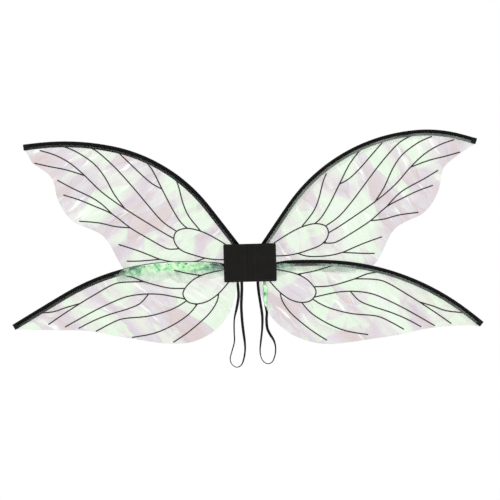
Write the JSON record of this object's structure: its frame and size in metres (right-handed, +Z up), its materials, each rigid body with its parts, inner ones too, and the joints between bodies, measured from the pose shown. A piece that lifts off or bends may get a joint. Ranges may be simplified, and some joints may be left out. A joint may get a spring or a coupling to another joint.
{
  "type": "wearable fairy wings",
  "caption": "Wearable fairy wings: clear iridescent film on dark curved leading edges, set in a black cloth pad that folds like a book and hangs from elastic shoulder loops.",
  "frame": {"origin": "centre of the pad's face that lies on the wearer's back", "axes": "+Z up as worn, +Y out of the pad's back face towards the wearer, +X along the wing span to the right as seen from behind the wearer"},
  "size_m": [0.9054, 0.0199, 0.451],
  "materials": {
    "pad_cloth": "matte woven black cloth",
    "foam": "dark grey foam",
    "board": "stiff pressed board",
    "rivet_steel": "satin steel",
    "webbing": "woven black webbing",
    "wire_steel": "drawn steel wire",
    "sleeve_black": "satin black",
    "hem_tape": "charcoal cloth tape",
    "tip_tape": "black cloth tape",
    "film": "thin iridescent film, pink, mint and lilac, with creases",
    "vein_ink": "black-brown raised line",
    "elastic": "ribbed black elastic"
  },
  "bodies": {
    "spine": {"spine_cover": "pad_cloth", "spine_core": "foam"},
    "left_side": {"left_cover": "pad_cloth", "left_board": "board", "left_backing": "pad_cloth", "left_rivets": "rivet_steel", "left_strap_tab": "webbing", "left_upper_wire": "wire_steel", "left_upper_sleeve": "sleeve_black", "left_upper_tape": "hem_tape", "left_upper_tip": "tip_tape", "left_upper_film": "film", "left_upper_veins": "vein_ink", "left_lower_wire": "wire_steel", "left_lower_sleeve": "sleeve_black", "left_lower_tape": "hem_tape", "left_lower_tip": "tip_tape", "left_lower_film": "film", "left_lower_veins": "vein_ink"},
    "right_side": {"right_cover": "pad_cloth", "right_board": "board", "right_backing": "pad_cloth", "right_rivets": "rivet_steel", "right_strap_tab": "webbing", "right_upper_wire": "wire_steel", "right_upper_sleeve": "sleeve_black", "right_upper_tape": "hem_tape", "right_upper_tip": "tip_tape", "right_upper_film": "film", "right_upper_veins": "vein_ink", "right_lower_wire": "wire_steel", "right_lower_sleeve": "sleeve_black", "right_lower_tape": "hem_tape", "right_lower_tip": "tip_tape", "right_lower_film": "film", "right_lower_veins": "vein_ink"},
    "left_strap": {"left_strap": "elastic"},
    "right_strap": {"right_strap": "elastic"}
  },
  "joints": [
    {"name": "left_fold", "type": "hinge", "parent": "spine", "child": "left_side", "pos_m": [-0.0055, -0.0156, 0], "axis": [0, 0, 1], "range_deg": [0, 85]},
    {"name": "right_fold", "type": "hinge", "parent": "spine", "child": "right_side", "pos_m": [0.0055, -0.0156, 0], "axis": [0, 0, -1], "range_deg": [0, 85]},
    {"name": "left_strap_swing", "type": "hinge", "parent": "left_side", "child": "left_strap", "pos_m": [-0.021, -0.0007, -0.0368], "axis": [1, 0, 0], "range_deg": [0, 100]},
    {"name": "right_strap_swing", "type": "hinge", "parent": "right_side", "child": "right_strap", "pos_m": [0.0205, -0.0007, -0.0368], "axis": [1, 0, 0], "range_deg": [0, 100]}
  ]
}
